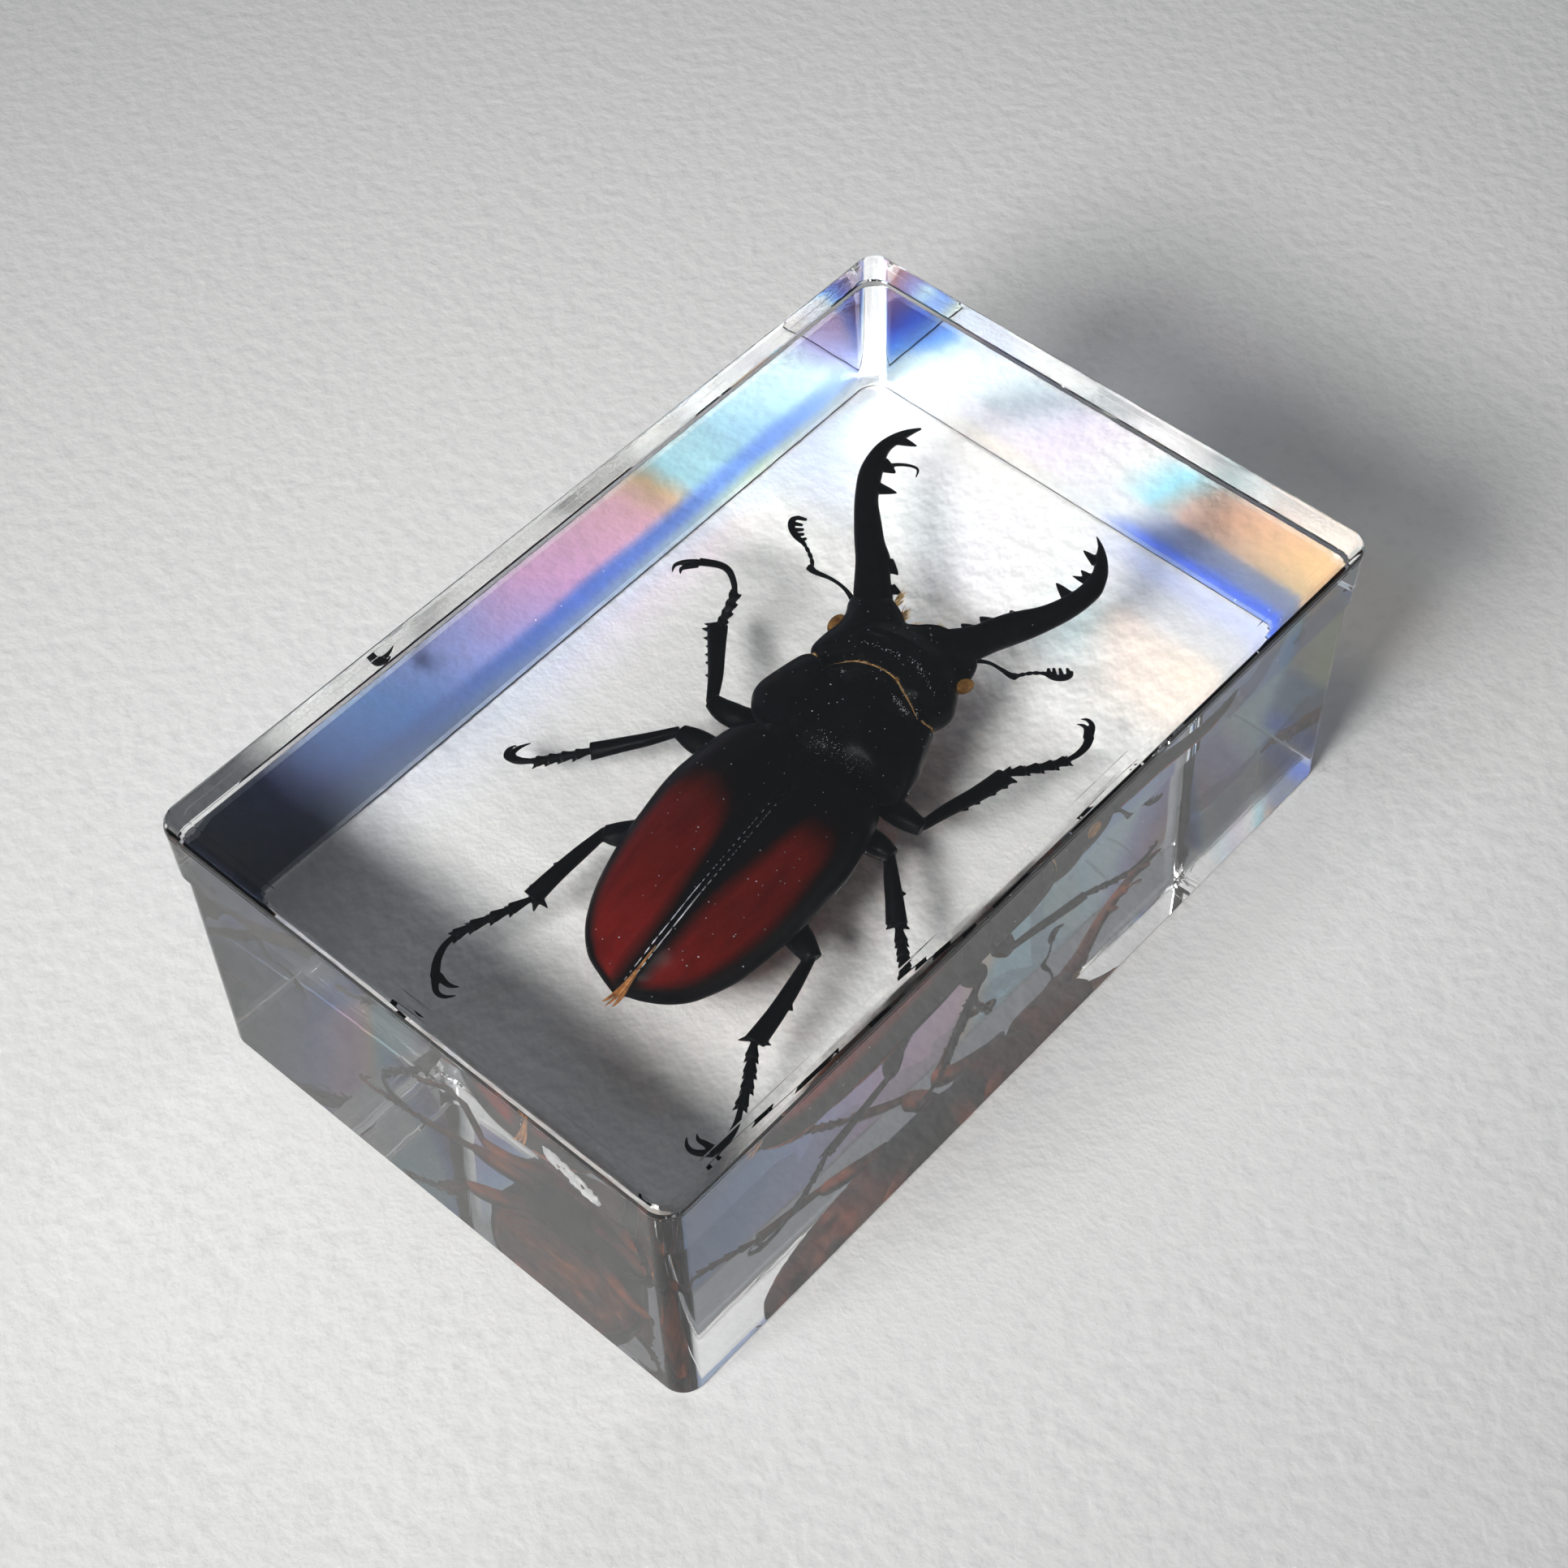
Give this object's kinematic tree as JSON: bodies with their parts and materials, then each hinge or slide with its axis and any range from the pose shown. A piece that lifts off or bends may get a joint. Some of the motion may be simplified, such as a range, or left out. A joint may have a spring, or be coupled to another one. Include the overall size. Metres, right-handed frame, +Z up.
{
  "type": "insect in resin block",
  "caption": "Clear cast resin block with rounded edges that holds a black and red stag beetle. It rests on its flat underside as a display specimen or paperweight.",
  "frame": {"origin": "centre of the flat underside", "axes": "+X along the length, towards the end that the beetle's mandibles point to; +Y across the width, towards the beetle's left; +Z up, through the beetle's back"},
  "size_m": [0.11, 0.0704, 0.0385],
  "materials": {
    "clear_resin": "water-clear cast resin, polished",
    "black_chitin": "black beetle shell, satin gloss with a faint blue sheen",
    "red_elytra": "deep red wing cases with soft black edges",
    "amber_wing": "translucent amber hindwing tip",
    "amber_eye": "amber compound eye",
    "golden_bristle": "golden bristles at the mouth and between the body sections",
    "white_chip": "frosted white chip at the edge of the resin"
  },
  "bodies": {
    "root": {"resin_block": "clear_resin"}
  },
  "joints": []
}
